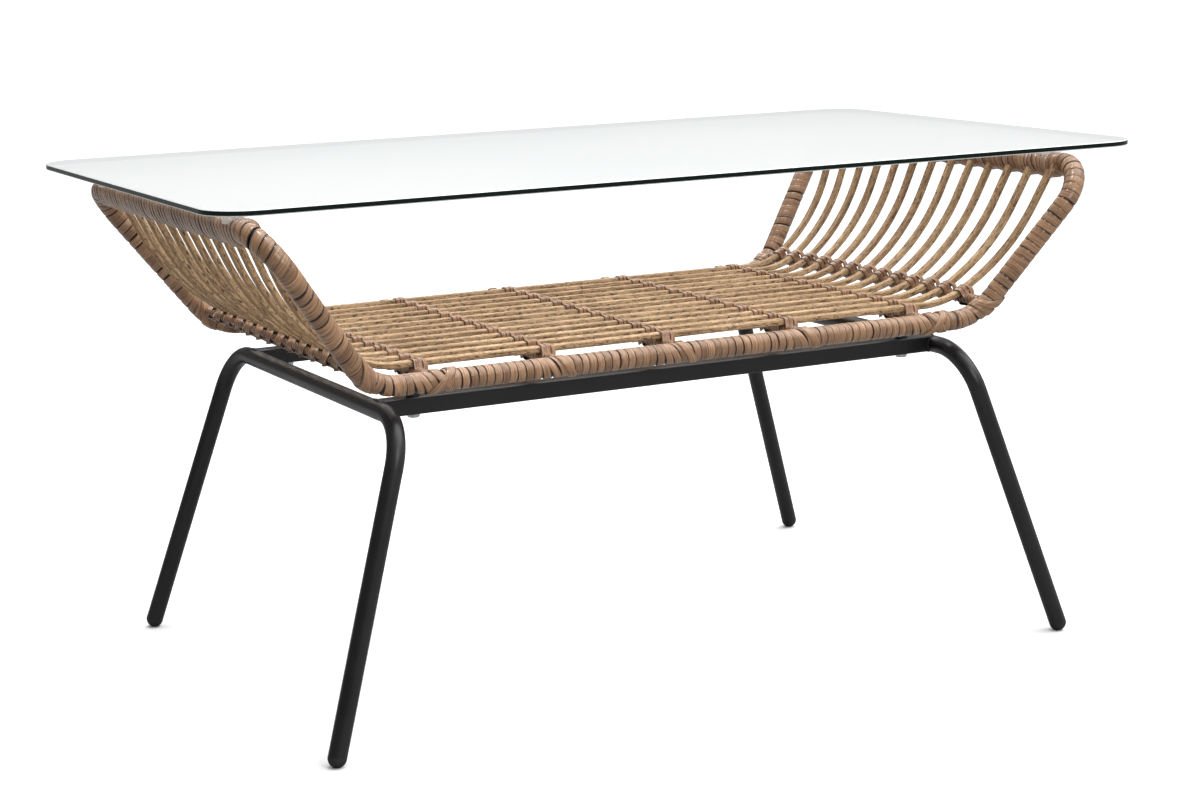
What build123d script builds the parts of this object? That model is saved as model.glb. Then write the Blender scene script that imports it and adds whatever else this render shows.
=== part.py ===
"""Wicker coffee table with a glass top: a woven open basket shelf on two bent-tube leg frames.

Frame: origin on the floor under the middle of the table, +X along the long side, +Y to the
back, +Z up.  All lengths are millimetres.  Every sub-part is written to parts/<name>.step.
"""
from build123d import *
from math import asin, atan2, cos, degrees, hypot, radians, sin
import os

os.makedirs("parts", exist_ok=True)

# ---------------------------------------------------------------- driving dimensions
overall_height = 460.0

glass_length = 900.0
glass_width = 500.0
glass_thickness = 5.0
glass_corner_radius = 38.0
glass_edge_chamfer = 0.7

pad_diameter = 30.0
pad_disc_thickness = 2.0
pad_body_diameter = 20.0
pad_reach_down = 4.0           # how far a pad saddles down over the rail under it
pad_y = 168.0

tube_diameter = 16.0           # basket rim and legs share one round tube size
tube_wall = 1.2
wrap_thickness = 1.1           # flat woven strip wound round the rim

rim_y = 188.0                  # bottom rails of the basket, centre line
rim_z = 298.5
rim_corner_x = 304.5           # where the bottom rail would meet the slope with no bend
top_rail_x = 405.7             # cross rails that carry the glass
top_rail_z = 436.0
top_corner_y = 230.6
bottom_bend_radius = 50.0
top_bend_radius = 35.0
binding_radius = 12.1          # round the top rail and the slat ends together
binding_half_length = 188.0

crossbar_diameter = 8.0
crossbar_wrap = 1.0
inner_crossbar_x = (-249.0, -129.0, -11.0, 117.0, 249.0)
end_crossbar_x = 312.3
inner_crossbar_z = 301.75       # a little above the centre of the rim tube

slat_count = 13
slat_width = 6.8
slat_thickness = 5.6
slat_pitch = 26.2
slat_pitch_at_top = 31.0
slat_lower_corner_x = 294.5    # where the flat run would meet the slope with no bend
slat_upper_corner = (358.2, 356.3)   # x and z where the slope would meet the steep run
slat_rise_at_top = 65.2        # degrees from level where it meets the top rail
slat_steep_length = 90.0
slat_lower_radius = 81.0
slat_upper_radius = 180.0
strap_width = 9.0
strap_thickness = 1.2

leg_corner = (282.0, 203.0, 271.5)   # where leg and cross tube would meet with no bend
leg_foot = (368.5, 239.0, 0.0)
leg_bend_radius = 45.0
foot_centre_height = 7.6

bar_size = 15.0
bar_wall = 1.2
bar_y = 148.0
bar_bottom_z = 264.8
boss_diameter = 12.0
screw_diameter = 6.0
screw_head_diameter = 11.0
screw_head_height = 3.2
screw_engagement = 10.0

tube_radius = tube_diameter / 2
wrapped_radius = tube_radius + wrap_thickness
glass_bottom_z = overall_height - glass_thickness
binding_x = top_rail_x + wrapped_radius - binding_radius
binding_z = top_rail_z + wrapped_radius - binding_radius
bar_top_z = bar_bottom_z + bar_size
crossbar_radius = crossbar_diameter / 2
wrapped_bar_radius = crossbar_radius + crossbar_wrap
clearance = 0.05


# ---------------------------------------------------------------- bent centre lines
def unit(a, b):
    return (Vector(*b) - Vector(*a)).normalized()


def bend(before, corner, after, radius):
    """Start, middle and end of the arc that rounds one corner of a bent tube."""
    toward, away = unit(before, corner), unit(corner, after)
    half = radians(toward.get_angle(away)) / 2
    reach = radius * sin(half) / cos(half)
    start = Vector(*corner) - toward * reach
    end = Vector(*corner) + away * reach
    inward = (away - toward).normalized()
    middle = Vector(*corner) + inward * (radius / cos(half) - radius)
    return start, middle, end


def draw_bent_line(corners, radii):
    """Straight runs joined by arcs, drawn into the line builder that is open."""
    here = Vector(*corners[0])
    for index, radius in enumerate(radii, start=1):
        start, middle, end = bend(corners[index - 1], corners[index], corners[index + 1], radius)
        if (start - here).length > 0.01:
            Line(here, start)
        ThreePointArc(start, middle, end)
        here = end
    if (Vector(*corners[-1]) - here).length > 0.01:
        Line(here, corners[-1])


def end_plane(line):
    return Plane(origin=line @ 0, z_dir=line % 0)


def rim_corner(side_x, side_y):
    return (side_x * rim_corner_x, side_y * rim_y, rim_z)


def top_corner(side_x, side_y):
    return (side_x * top_rail_x, side_y * top_corner_y, top_rail_z)


rim_bend_start = bend((0, rim_y, rim_z), rim_corner(1, 1), top_corner(1, 1), bottom_bend_radius)[0]
rail_half_length = rim_bend_start.X


def hoop_corners(side_x):
    start_x = side_x * rail_half_length
    return [(start_x, -rim_y, rim_z), rim_corner(side_x, -1), top_corner(side_x, -1),
            top_corner(side_x, 1), rim_corner(side_x, 1), (start_x, rim_y, rim_z)]


hoop_radii = (bottom_bend_radius, top_bend_radius, top_bend_radius, bottom_bend_radius)

slat_z = inner_crossbar_z + wrapped_bar_radius + slat_thickness / 2 + clearance
seat = wrapped_bar_radius + slat_thickness / 2 + clearance
flat_end_x = inner_crossbar_x[-1]

# Corners of one half of a slat, from the flat run to the top rail: (x, z, share of fan).
lower_slope = atan2(slat_upper_corner[1] - slat_z, slat_upper_corner[0] - slat_lower_corner_x)
upper_slope = radians(slat_rise_at_top)
slat_top = (slat_upper_corner[0] + slat_steep_length * cos(upper_slope),
            slat_upper_corner[1] + slat_steep_length * sin(upper_slope))
slat_half = ((slat_lower_corner_x, slat_z, 0.0), (*slat_upper_corner, 0.45), (*slat_top, 1.0))

# The end crossbars carry the slats part-way up their lower bend, so their height follows it.
bend_start_x = slat_lower_corner_x - slat_lower_radius * sin(lower_slope / 2) / cos(lower_slope / 2)
bar_orbit = slat_lower_radius + seat
end_bar_angle = asin((end_crossbar_x - bend_start_x) / bar_orbit)
end_crossbar_z = slat_z + slat_lower_radius - bar_orbit * cos(end_bar_angle)

# By then the slats have also begun to fan out.
lower_run = hypot(slat_upper_corner[0] - slat_lower_corner_x, slat_upper_corner[1] - slat_z)
end_fan_share = (slat_half[1][2] * slat_lower_radius * (1 - cos(end_bar_angle))
                 / (lower_run * sin(lower_slope)))
end_slat_pitch = slat_pitch + end_fan_share * (slat_pitch_at_top - slat_pitch)

crossbars = [(-end_crossbar_x, end_crossbar_z)]
crossbars += [(x, inner_crossbar_z) for x in inner_crossbar_x]
crossbars += [(end_crossbar_x, end_crossbar_z)]


def slat_corners(number):
    low_y, high_y = number * slat_pitch, number * slat_pitch_at_top
    right = [(x, low_y + share * (high_y - low_y), z) for x, z, share in slat_half]
    left = [(-x, y, z) for x, y, z in right]
    return left[::-1] + right


slat_radii = (slat_upper_radius, slat_lower_radius, slat_lower_radius, slat_upper_radius)

# ---------------------------------------------------------------- glass top and pads
with BuildPart() as glass_top:
    with BuildSketch(Plane.XY.offset(glass_bottom_z)):
        RectangleRounded(glass_length, glass_width, glass_corner_radius)
    extrude(amount=glass_thickness)
    rims = glass_top.edges().group_by(Axis.Z)
    chamfer(rims[0] + rims[-1], glass_edge_chamfer)
glass_top.part.label = "glass_top"
export_step(glass_top.part, "parts/glass_top.step")

pad_spots = [(sx * top_rail_x, sy * pad_y) for sx in (-1, 1) for sy in (-1, 1)]
pad_foot_z = top_rail_z + wrapped_radius - pad_reach_down

with BuildPart() as glass_pads:
    with Locations(*[(x, y, glass_bottom_z) for x, y in pad_spots]):
        Cylinder(pad_diameter / 2, pad_disc_thickness, align=(Align.CENTER, Align.CENTER, Align.MAX))
    with Locations(*[(x, y, pad_foot_z) for x, y in pad_spots]):
        Cylinder(pad_body_diameter / 2, glass_bottom_z - pad_disc_thickness - pad_foot_z,
                 align=(Align.CENTER, Align.CENTER, Align.MIN))
    with Locations(*[(side * top_rail_x, 0, top_rail_z) for side in (-1, 1)]):
        Cylinder(wrapped_radius + clearance, glass_width, rotation=(90, 0, 0), mode=Mode.SUBTRACT)
    with Locations(*[(side * binding_x, 0, binding_z) for side in (-1, 1)]):
        Cylinder(binding_radius + clearance, glass_width, rotation=(90, 0, 0), mode=Mode.SUBTRACT)
glass_pads.part.label = "glass_pads"
export_step(glass_pads.part, "parts/glass_pads.step")

# ---------------------------------------------------------------- basket rim, steel
for name, side in (("rim_rail_front", -1), ("rim_rail_back", 1)):
    with BuildPart() as rim_rail:
        with BuildSketch(Plane.YZ.offset(-rail_half_length)):
            with Locations((side * rim_y, rim_z)):
                Circle(tube_radius)
                Circle(tube_radius - tube_wall, mode=Mode.SUBTRACT)
        extrude(amount=2 * rail_half_length)
    rim_rail.part.label = name
    export_step(rim_rail.part, f"parts/{name}.step")


def sweep_round(corners, radii, outer, inner):
    """A round tube that follows a bent centre line."""
    with BuildPart() as tube:
        with BuildLine() as centre:
            draw_bent_line(corners, radii)
        with BuildSketch(end_plane(centre.line)):
            Circle(outer)
            if inner:
                Circle(inner, mode=Mode.SUBTRACT)
        sweep()
    return tube.part


for name, side in (("rim_hoop_left", -1), ("rim_hoop_right", 1)):
    with BuildPart() as rim_hoop:
        add(sweep_round(hoop_corners(side), hoop_radii, tube_radius, tube_radius - tube_wall))
    rim_hoop.part.label = name
    export_step(rim_hoop.part, f"parts/{name}.step")


# ---------------------------------------------------------------- crossbars
def rod(x, z, radius, half_length):
    return Pos(x, 0, z) * Rot(90, 0, 0) * Cylinder(radius, 2 * half_length)


def rim_cores(radius):
    """The whole rim as solid round bars of one radius, for trimming what meets it."""
    cores = [Pos(0, side * rim_y, rim_z) * Rot(0, 90, 0) * Cylinder(radius, 2 * rail_half_length)
             for side in (-1, 1)]
    cores += [sweep_round(hoop_corners(side), hoop_radii, radius, None) for side in (-1, 1)]
    return cores


tube_cores = rim_cores(tube_radius)
wrapped_cores = rim_cores(wrapped_radius + clearance)
rods = [rod(x, z, crossbar_radius, rim_y + 3) for x, z in crossbars]
wrapped_rods = [rod(x, z, wrapped_bar_radius, rim_y) for x, z in crossbars]

for number, bar_rod in enumerate(rods, start=1):
    with BuildPart() as crossbar:
        add(bar_rod)
        add(tube_cores, mode=Mode.SUBTRACT)
        keep = crossbar.solids().sort_by(SortBy.VOLUME)[-1]
    with BuildPart() as crossbar:
        add(keep)
    crossbar.part.label = f"crossbar_{number}"
    export_step(crossbar.part, f"parts/crossbar_{number}.step")

# ---------------------------------------------------------------- slats
slats = []
for index in range(slat_count):
    number = index - slat_count // 2
    with BuildPart() as slat:
        with BuildLine() as centre:
            draw_bent_line(slat_corners(number), slat_radii)
        with BuildSketch(Plane(origin=centre.line @ 0, x_dir=(0, 1, 0), z_dir=centre.line % 0)):
            RectangleRounded(slat_width, slat_thickness, slat_thickness * 0.42)
        sweep()
        add(tube_cores[2:], mode=Mode.SUBTRACT)
        keep = slat.solids().sort_by(SortBy.VOLUME)[-1]
    slats.append(keep)
    with BuildPart() as slat:
        add(keep)
    slat.part.label = f"slat_{index + 1:02d}"
    export_step(slat.part, f"parts/slat_{index + 1:02d}.step")

# ---------------------------------------------------------------- wrapping of the rim
bosses_at = [(sx * inner_crossbar_x[-1], sy * bar_y) for sx in (-1, 1) for sy in (-1, 1)]

for name, side in (("wrap_front", -1), ("wrap_back", 1)):
    with BuildPart() as rail_wrap:
        with BuildSketch(Plane.YZ.offset(-rail_half_length)):
            with Locations((side * rim_y, rim_z)):
                Circle(wrapped_radius)
                Circle(tube_radius, mode=Mode.SUBTRACT)
        extrude(amount=2 * rail_half_length)
        add(rods, mode=Mode.SUBTRACT)
    rail_wrap.part.label = name
    export_step(rail_wrap.part, f"parts/{name}.step")

for name, side in (("wrap_left", -1), ("wrap_right", 1)):
    with BuildPart() as end_wrap:
        add(sweep_round(hoop_corners(side), hoop_radii, wrapped_radius, None))
        with Locations((side * binding_x, 0, binding_z)):
            Cylinder(binding_radius, 2 * binding_half_length, rotation=(90, 0, 0))
        add(tube_cores[2 if side < 0 else 3], mode=Mode.SUBTRACT)
        add(rods[0 if side < 0 else -1], mode=Mode.SUBTRACT)
        add(slats, mode=Mode.SUBTRACT)
        keep = end_wrap.solids().sort_by(SortBy.VOLUME)[-1]
    with BuildPart() as end_wrap:
        add(keep)
    end_wrap.part.label = name
    export_step(end_wrap.part, f"parts/{name}.step")

# ---------------------------------------------------------------- lashings along the crossbars
for row, (bar_x, bar_z) in enumerate(crossbars, start=1):
    at_end = abs(bar_x) > flat_end_x
    lean = degrees(end_bar_angle) if at_end else 0.0
    lean = -lean if bar_x > 0 else lean
    low = -wrapped_bar_radius
    high = seat + slat_thickness / 2 + strap_thickness
    with BuildPart() as strap:
        with BuildSketch(Plane.YZ.offset(-strap_width / 2)):
            with Locations((0, (low + high) / 2)):
                RectangleRounded(slat_width + 2 * strap_thickness, high - low, 3.2)
        extrude(amount=strap_width)
    with BuildPart() as lashing:
        add(wrapped_rods[row - 1])
        for index in range(slat_count):
            y = (index - slat_count // 2) * (end_slat_pitch if at_end else slat_pitch)
            add(Location((bar_x, y, bar_z), (0, lean, 0)) * strap.part)
        add(slats, mode=Mode.SUBTRACT)
        add(rods[row - 1], mode=Mode.SUBTRACT)
        add(wrapped_cores, mode=Mode.SUBTRACT)
        for x, y in bosses_at:
            with Locations((x, y, bar_top_z)):
                Cylinder(boss_diameter / 2 + clearance, bar_z - bar_top_z, mode=Mode.SUBTRACT,
                         align=(Align.CENTER, Align.CENTER, Align.MIN))
        pieces = [s for s in lashing.solids() if s.volume > 100]
    with BuildPart() as lashing:
        add(pieces)
    lashing.part.label = f"lashing_{row}"
    export_step(lashing.part, f"parts/lashing_{row}.step")

# ---------------------------------------------------------------- leg frames
down = unit(leg_corner, leg_foot)


def leg_point(side_x, side_y, point):
    return (side_x * point[0], side_y * point[1], point[2])


foot_reach = (leg_corner[2] - foot_centre_height) / -down.Z
foot_centre = tuple(Vector(*leg_corner) + down * foot_reach)

for name, side in (("leg_frame_left", -1), ("leg_frame_right", 1)):
    corners = [leg_point(side, -1, foot_centre), leg_point(side, -1, leg_corner),
               leg_point(side, 1, leg_corner), leg_point(side, 1, foot_centre)]
    with BuildPart() as leg_frame:
        add(sweep_round(corners, (leg_bend_radius, leg_bend_radius),
                        tube_radius, tube_radius - tube_wall))
    leg_frame.part.label = name
    export_step(leg_frame.part, f"parts/{name}.step")

for number, (side_x, side_y) in enumerate(((-1, -1), (1, -1), (-1, 1), (1, 1)), start=1):
    centre_point = leg_point(side_x, side_y, foot_centre)
    upward = unit(centre_point, leg_point(side_x, side_y, leg_corner))
    cap_plane = Plane(origin=centre_point, z_dir=upward)
    with BuildPart() as foot_cap:
        with Locations(Location(centre_point)):
            Sphere(tube_radius)
        with BuildSketch(cap_plane):
            Circle(2 * tube_diameter)
        extrude(amount=tube_diameter, mode=Mode.SUBTRACT)
        with BuildSketch(Plane.XY):
            with Locations((centre_point[0], centre_point[1])):
                Circle(2 * tube_diameter)
        extrude(amount=-tube_diameter, mode=Mode.SUBTRACT)
        with BuildSketch(cap_plane):
            Circle(tube_radius - tube_wall - clearance)
        extrude(amount=14)
    foot_cap.part.label = f"foot_cap_{number}"
    export_step(foot_cap.part, f"parts/foot_cap_{number}.step")

# ---------------------------------------------------------------- bars, bosses and screws
for name, side in (("side_bar_front", -1), ("side_bar_back", 1)):
    with BuildPart() as side_bar:
        with BuildSketch(Plane.YZ.offset(-leg_corner[0])):
            with Locations((side * bar_y, bar_bottom_z + bar_size / 2)):
                RectangleRounded(bar_size, bar_size, 1.5)
                Rectangle(bar_size - 2 * bar_wall, bar_size - 2 * bar_wall, mode=Mode.SUBTRACT)
        extrude(amount=2 * leg_corner[0])
        with Locations(*[(sx * leg_corner[0], side * bar_y, leg_corner[2]) for sx in (-1, 1)]):
            Cylinder(tube_radius, 4 * bar_size, rotation=(90, 0, 0), mode=Mode.SUBTRACT)
        with Locations(*[(x, y, bar_bottom_z) for x, y in bosses_at if y * side > 0]):
            Cylinder(screw_diameter / 2 + 0.25, 3 * bar_size, mode=Mode.SUBTRACT)
    side_bar.part.label = name
    export_step(side_bar.part, f"parts/{name}.step")

with BuildPart() as basket_bosses:
    with Locations(*[(x, y, bar_top_z) for x, y in bosses_at]):
        Cylinder(boss_diameter / 2, inner_crossbar_z - bar_top_z,
                 align=(Align.CENTER, Align.CENTER, Align.MIN))
        Cylinder(screw_diameter / 2, screw_engagement + 1, mode=Mode.SUBTRACT,
                 align=(Align.CENTER, Align.CENTER, Align.MIN))
    add(rods, mode=Mode.SUBTRACT)
basket_bosses.part.label = "basket_bosses"
export_step(basket_bosses.part, "parts/basket_bosses.step")

with BuildPart() as frame_screws:
    with Locations(*[(x, y, bar_bottom_z) for x, y in bosses_at]):
        Cylinder(screw_head_diameter / 2, screw_head_height,
                 align=(Align.CENTER, Align.CENTER, Align.MAX))
        Cylinder(screw_diameter / 2, bar_size + screw_engagement,
                 align=(Align.CENTER, Align.CENTER, Align.MIN))
    undersides = frame_screws.edges().group_by(Axis.Z)[0]
    fillet(undersides, 1.8)
    with Locations(*[(x, y, bar_bottom_z - screw_head_height) for x, y in bosses_at]):
        with BuildSketch():
            RegularPolygon(2.3, 6)
        extrude(amount=1.8, mode=Mode.SUBTRACT)
frame_screws.part.label = "frame_screws"
export_step(frame_screws.part, "parts/frame_screws.step")
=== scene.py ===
import math
import bpy
import numpy as np
from mathutils import Matrix, Vector


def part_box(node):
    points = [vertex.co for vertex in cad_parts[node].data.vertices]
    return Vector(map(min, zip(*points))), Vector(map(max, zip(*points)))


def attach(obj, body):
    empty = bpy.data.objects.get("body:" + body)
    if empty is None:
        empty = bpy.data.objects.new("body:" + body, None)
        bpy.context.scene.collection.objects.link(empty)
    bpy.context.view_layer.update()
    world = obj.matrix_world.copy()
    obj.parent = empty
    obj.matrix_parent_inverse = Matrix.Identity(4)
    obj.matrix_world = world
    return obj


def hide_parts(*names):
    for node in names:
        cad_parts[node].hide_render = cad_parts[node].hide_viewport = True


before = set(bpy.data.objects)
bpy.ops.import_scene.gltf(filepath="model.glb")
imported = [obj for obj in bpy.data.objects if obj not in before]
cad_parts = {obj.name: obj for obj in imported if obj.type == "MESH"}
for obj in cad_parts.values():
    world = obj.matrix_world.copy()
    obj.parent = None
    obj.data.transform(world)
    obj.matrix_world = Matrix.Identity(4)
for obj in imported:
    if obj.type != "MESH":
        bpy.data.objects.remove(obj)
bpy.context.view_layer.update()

MM = 0.001
FULL_TURN = 2 * math.pi

# ------------------------------------------------------------------ sizes read from the frame
rail_low, rail_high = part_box("rim_rail_back")
TUBE = (rail_high[2] - rail_low[2]) / 2  # radius of the rim tubes, and of the leg tubes
RIM_Y = (rail_low[1] + rail_high[1]) / 2
RIM_Z = (rail_low[2] + rail_high[2]) / 2
RAIL_X = rail_high[0]
hoop_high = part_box("rim_hoop_right")[1]
TOP_X = hoop_high[0] - TUBE
TOP_Z = hoop_high[2] - TUBE
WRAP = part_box("wrap_back")[1][2] - RIM_Z - TUBE  # thickness of the wrapping on the rim
WRAPPED = TUBE + WRAP

# Each crossbar's middle in x and z, and half its length.
CROSSBARS = 7
bars = []
for number in range(1, CROSSBARS + 1):
    low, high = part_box(f"crossbar_{number}")
    bars.append(((low[0] + high[0]) / 2, (low[2] + high[2]) / 2, (high[1] - low[1]) / 2))
rod_low, rod_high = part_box("crossbar_2")
ROD = (rod_high[0] - rod_low[0]) / 2
LEG_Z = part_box("leg_frame_right")[1][2] - TUBE

# ------------------------------------------------------------------ sizes that the boxes don't give
# The end hoop's corners before they are rounded, and their radii, low and high.
HOOP_FOOT_X = 304.5 * MM
HOOP_TOP_Y = 230.6 * MM
HOOP_FOOT_RADIUS = 50 * MM
HOOP_TOP_RADIUS = 35 * MM
# The wrapping of a top rail also takes in the slat ends, out to this radius.
BIND_RADIUS = 12.1 * MM

SLATS = 13
SLAT_WIDTH = 6.8 * MM
SLAT_THICK = 5.6 * MM
SLAT_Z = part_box("slat_07")[0][2] + SLAT_THICK / 2
SLAT_PITCH = 26.2 * MM
SLAT_PITCH_AT_TOP = 31.0 * MM
# A slat's centre line runs flat to the lower corner, up to the upper corner, and on more steeply.
SLAT_LOWER_X = 294.5 * MM
SLAT_UPPER_X = 358.2 * MM
SLAT_UPPER_Z = 356.3 * MM
SLAT_LOWER_RADIUS = 81 * MM
SLAT_UPPER_RADIUS = 180 * MM
SLAT_LOWER_SLOPE = math.atan2(SLAT_UPPER_Z - SLAT_Z, SLAT_UPPER_X - SLAT_LOWER_X)
SLAT_UPPER_SLOPE = math.radians(65.2)
SLAT_UPPER_RUN = 89 * MM
SLAT_TOP_X = SLAT_UPPER_X + SLAT_UPPER_RUN * math.cos(SLAT_UPPER_SLOPE)
SLAT_TOP_Z = SLAT_UPPER_Z + SLAT_UPPER_RUN * math.sin(SLAT_UPPER_SLOPE)
SLAT_FAN_AT_UPPER = 0.45  # how much of the fanning out is done at the upper corner

# How high a slat's centre line lies above a wrapped crossbar, and how steep it is at the end ones.
WRAPPED_ROD = ROD + 1 * MM
SLAT_SEAT = WRAPPED_ROD + SLAT_THICK / 2 + 0.05 * MM
slat_bend_start = SLAT_LOWER_X - SLAT_LOWER_RADIUS * math.tan(SLAT_LOWER_SLOPE / 2)
END_BAR_TILT = math.asin((bars[-1][0] - slat_bend_start) / (SLAT_LOWER_RADIUS + SLAT_SEAT))


# ------------------------------------------------------------------ curves and meshes
def smooth_noise(t, seed, step=1.0):
    """Smooth random curve in -1..1 over t, one knot each step."""
    t = np.asarray(t, float) / step
    knots = np.random.default_rng(seed).uniform(-1, 1, 4096)
    i = np.floor(t).astype(int)
    f = t - i
    f = f * f * (3 - 2 * f)
    return knots[i % len(knots)] * (1 - f) + knots[(i + 1) % len(knots)] * f


def unit(v):
    return v / np.linalg.norm(v)


def uv_grid(along, across):
    """UV of a grid of points: u grows from row to row, v from column to column."""
    return np.stack(np.broadcast_arrays(along[:, None], across[None, :]), -1)


def bent(corners, radii, step=1.2 * MM):
    """Dense points along straight runs joined by arcs."""
    c = [np.array(p, float) for p in corners]
    out = [c[0]]
    for i, r in enumerate(radii, start=1):
        a = unit(c[i] - c[i - 1])
        b = unit(c[i + 1] - c[i])
        half = math.acos(max(-1, min(1, float(a @ b)))) / 2
        start = c[i] - a * r * math.tan(half)
        centre = c[i] + unit(b - a) * (r / math.cos(half))
        out += straight(out[-1], start, step)
        count = max(4, int(2 * half * r / step))
        for k in range(1, count + 1):
            t = 2 * half * k / count
            out.append(centre + (start - centre) * math.cos(t) + a * r * math.sin(t))
    return np.array(out + straight(out[-1], c[-1], step))


def straight(start, end, step):
    """Points from just after start up to end."""
    count = max(1, int(np.linalg.norm(end - start) / step))
    return [start + (end - start) * k / count for k in range(1, count + 1)]


class Path:
    """A centre line with arc length and a frame carried along it without twist."""

    def __init__(self, points, side):
        p = np.asarray(points, float)
        keep = np.r_[True, np.linalg.norm(np.diff(p, axis=0), axis=1) > 1e-7]
        self.p = p[keep]
        self.s = np.r_[0, np.cumsum(np.linalg.norm(np.diff(self.p, axis=0), axis=1))]
        t = np.gradient(self.p, self.s, axis=0)
        self.t = t / np.linalg.norm(t, axis=1)[:, None]
        n = np.array(side, float)
        rows = []
        for tangent in self.t:
            n = unit(n - tangent * (n @ tangent))
            rows.append(n)
        self.n = np.array(rows)
        self.b = np.cross(self.t, self.n)
        self.length = self.s[-1]

    def at(self, s):
        """Point, tangent, normal and binormal at arc lengths of any array shape."""
        s = np.asarray(s, float)
        flat = s.ravel()
        inside = np.clip(flat, 0, self.length)
        out = []
        for field in (self.p, self.t, self.n, self.b):
            out.append(np.stack([np.interp(inside, self.s, field[:, k]) for k in range(3)], 1))
        past_end = (flat - inside)[:, None]
        out[0] = out[0] + out[1] * past_end
        return [a.reshape(*s.shape, 3) for a in out]

    def station(self, axis, value):
        """Arc length of the point whose coordinate is nearest to a value."""
        return float(self.s[np.argmin(np.abs(self.p[:, axis] - value))])


class Sheet:
    """Collects grids of points into one mesh, with a UV map and a tone for each point."""

    def __init__(self):
        self.points, self.faces, self.uv, self.tone = [], [], [], []
        self.count = 0

    def grid(self, points, uv, tone, closed=False):
        """Adds rows of points, joined face by face, and closed round each row if asked."""
        rows, cols = points.shape[:2]
        first = self.count
        self.points.append(points.reshape(-1, 3))
        self.uv.append(uv.reshape(-1, 2))
        self.tone.append(np.broadcast_to(tone, (rows, cols)).reshape(-1))
        self.count += rows * cols
        i, j = np.meshgrid(np.arange(rows - 1), np.arange(cols if closed else cols - 1), indexing="ij")
        row, next_row = first + i * cols, first + (i + 1) * cols
        next_j = (j + 1) % cols
        faces = np.stack([row + j, next_row + j, next_row + next_j, row + next_j], -1)
        self.faces.append(faces.reshape(-1, 4))

    def cap(self, ring):
        """Closes an end with one face through a list of point numbers."""
        self.faces.append(np.array(ring)[None, :])

    def build(self, name, material):
        mesh = bpy.data.meshes.new(name)
        faces = [tuple(face) for block in self.faces for face in block.tolist()]
        mesh.from_pydata([tuple(v) for v in np.concatenate(self.points)], [], faces)
        mesh.update()
        corner_points = np.empty(len(mesh.loops), int)
        mesh.loops.foreach_get("vertex_index", corner_points)
        uv = np.concatenate(self.uv).astype(np.float32)[corner_points]
        mesh.uv_layers.new(name="UVMap").data.foreach_set("uv", uv.ravel())
        tone = np.concatenate(self.tone).astype(np.float32)
        mesh.attributes.new("tone", "FLOAT", "POINT").data.foreach_set("value", tone)
        mesh.polygons.foreach_set("use_smooth", [True] * len(mesh.polygons))
        mesh.materials.append(material)
        ob = bpy.data.objects.new(name, mesh)
        bpy.context.scene.collection.objects.link(ob)
        return ob


def place(ob, slot, *nodes):
    """Rides a new piece on the table, in place of CAD nodes where it replaces any."""
    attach(ob, "root")
    if nodes:
        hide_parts(*nodes)


# ------------------------------------------------------------------ shader helpers
def grey(value):
    return (value, value, value)


def new_material(name):
    material = bpy.data.materials.new(name)
    material.use_nodes = True
    tree = material.node_tree
    return material, tree, tree.nodes["Principled BSDF"]


def node(tree, kind, **props):
    made = tree.nodes.new(kind)
    for key, value in props.items():
        setattr(made, key, value)
    return made


def ramp(tree, source, stops):
    made = node(tree, "ShaderNodeValToRGB")
    elements = made.color_ramp.elements
    while len(elements) < len(stops):
        elements.new(0.5)
    for element, (position, colour) in zip(elements, stops):
        element.position = position
        element.color = (*colour, 1)
    tree.links.new(source, made.inputs["Fac"])
    return made.outputs["Color"]


def noise(tree, vector, scale=1.0, detail=3.0, rough=0.55, distortion=0.0):
    made = node(tree, "ShaderNodeTexNoise")
    made.inputs["Scale"].default_value = scale
    made.inputs["Detail"].default_value = detail
    made.inputs["Roughness"].default_value = rough
    made.inputs["Distortion"].default_value = distortion
    tree.links.new(vector, made.inputs["Vector"])
    return made.outputs["Fac"]


def uv_noise(tree, along, across, **settings):
    """Noise over the UV map, stretched by its own scale along and across the strip or slat."""
    mapping = node(tree, "ShaderNodeMapping")
    mapping.inputs["Scale"].default_value = (along, across, 1)
    tree.links.new(node(tree, "ShaderNodeUVMap", uv_map="UVMap").outputs["UV"], mapping.inputs["Vector"])
    return noise(tree, mapping.outputs["Vector"], **settings)


def object_noise(tree, scale, detail=2.0):
    return noise(tree, node(tree, "ShaderNodeTexCoord").outputs["Object"], scale, detail, 0.5)


def mix(tree, share, a, b, blend="MIX"):
    made = node(tree, "ShaderNodeMix", data_type="RGBA", blend_type=blend)
    for key, value in (("Factor", share), ("A", a), ("B", b)):
        socket = [s for s in made.inputs if s.name == key and s.enabled][0]
        if isinstance(value, float):
            socket.default_value = value
        elif isinstance(value, tuple):
            socket.default_value = (*value, 1)
        else:
            tree.links.new(value, socket)
    return [s for s in made.outputs if s.enabled][0]


def multiply(tree, a, b):
    return mix(tree, 1.0, a, b, "MULTIPLY")


def calc(tree, operation, a, b=None):
    made = node(tree, "ShaderNodeMath", operation=operation)
    for socket, value in zip(made.inputs, (a, b)):
        if isinstance(value, float):
            socket.default_value = value
        elif value is not None:
            tree.links.new(value, socket)
    return made.outputs[0]


def spread(tree, source, source_range, target_range, kind="LINEAR"):
    """Maps one range of values onto another."""
    made = node(tree, "ShaderNodeMapRange", interpolation_type=kind)
    made.inputs["From Min"].default_value, made.inputs["From Max"].default_value = source_range
    made.inputs["To Min"].default_value, made.inputs["To Max"].default_value = target_range
    tree.links.new(source, made.inputs["Value"])
    return made.outputs["Result"]


def roughen(tree, bsdf, source, rough):
    """Spreads the roughness over a range, by a noise."""
    tree.links.new(spread(tree, source, (0.3, 0.7), rough), bsdf.inputs["Roughness"])


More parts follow.
